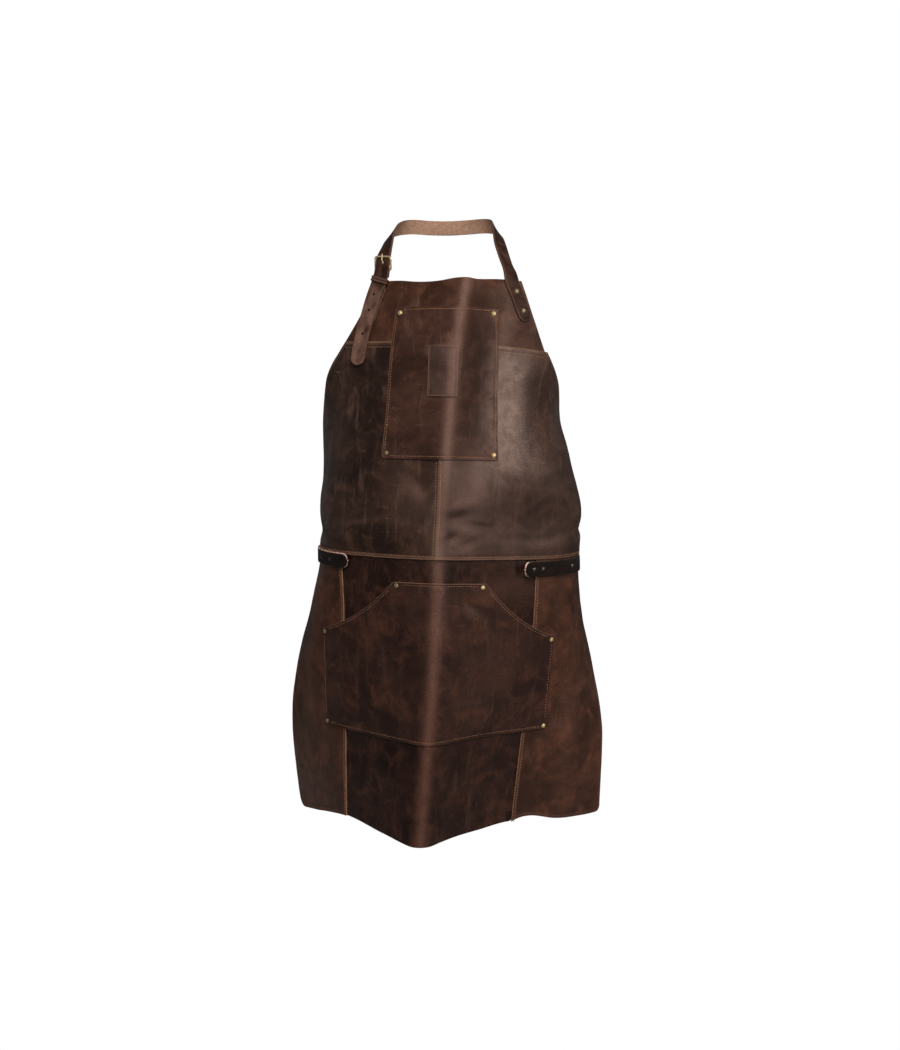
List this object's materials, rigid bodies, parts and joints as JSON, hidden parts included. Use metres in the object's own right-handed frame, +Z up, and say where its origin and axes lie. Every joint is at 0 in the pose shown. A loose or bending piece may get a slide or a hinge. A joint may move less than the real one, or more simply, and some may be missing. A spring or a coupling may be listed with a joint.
{
  "type": "leather apron",
  "caption": "Waxed leather bib apron in its worn form: seamed bib and skirt, riveted chest and hand pockets, buckled neck strap and waist straps.",
  "frame": {"origin": "where the middle of the neck strap bears on the nape", "axes": "+Z up, +Y towards the wearer's back, +X to the right of someone facing the apron"},
  "size_m": [0.4589, 0.3154, 0.8744],
  "materials": {
    "apron_leather": "waxed pull-up leather, satin, with scuffs and pale cut edges",
    "strap_leather": "waxed pull-up leather strap, satin, pale flesh side",
    "waist_leather": "near-black smooth strap leather, satin, pale cut edge",
    "buckle_brass": "aged brass, satin",
    "rivet_brass": "antique brass dome, satin with worn highlights",
    "waist_rivet_metal": "dulled antique brass",
    "clasp_plastic": "matt black"
  },
  "bodies": {
    "root": {"yoke": "apron_leather", "bib_left": "apron_leather", "bib_right": "apron_leather", "skirt_center": "apron_leather", "skirt_left": "apron_leather", "skirt_right": "apron_leather", "chest_pocket": "apron_leather", "chest_patch": "apron_leather", "hand_pocket": "apron_leather", "neck_strap": "strap_leather", "buckle_strap": "strap_leather", "keeper_loop": "strap_leather", "waist_strap_left": "waist_leather", "waist_strap_right": "waist_leather", "buckle_frame": "buckle_brass", "buckle_prong": "buckle_brass", "chest_rivet_upper_left": "rivet_brass", "chest_rivet_upper_right": "rivet_brass", "chest_rivet_lower_left": "rivet_brass", "chest_rivet_lower_right": "rivet_brass", "hand_rivet_upper_left": "rivet_brass", "hand_rivet_upper_right": "rivet_brass", "hand_rivet_mouth_left": "rivet_brass", "hand_rivet_mouth_right": "rivet_brass", "hand_rivet_lower_left": "rivet_brass", "hand_rivet_lower_right": "rivet_brass", "neck_rivet_lower": "rivet_brass", "neck_rivet_upper": "rivet_brass", "waist_rivet_left_inner": "waist_rivet_metal", "waist_rivet_left_outer": "waist_rivet_metal", "waist_rivet_right_inner": "waist_rivet_metal", "waist_rivet_right_middle": "waist_rivet_metal", "waist_rivet_right_outer": "waist_rivet_metal", "waist_clasp": "clasp_plastic"}
  },
  "joints": []
}
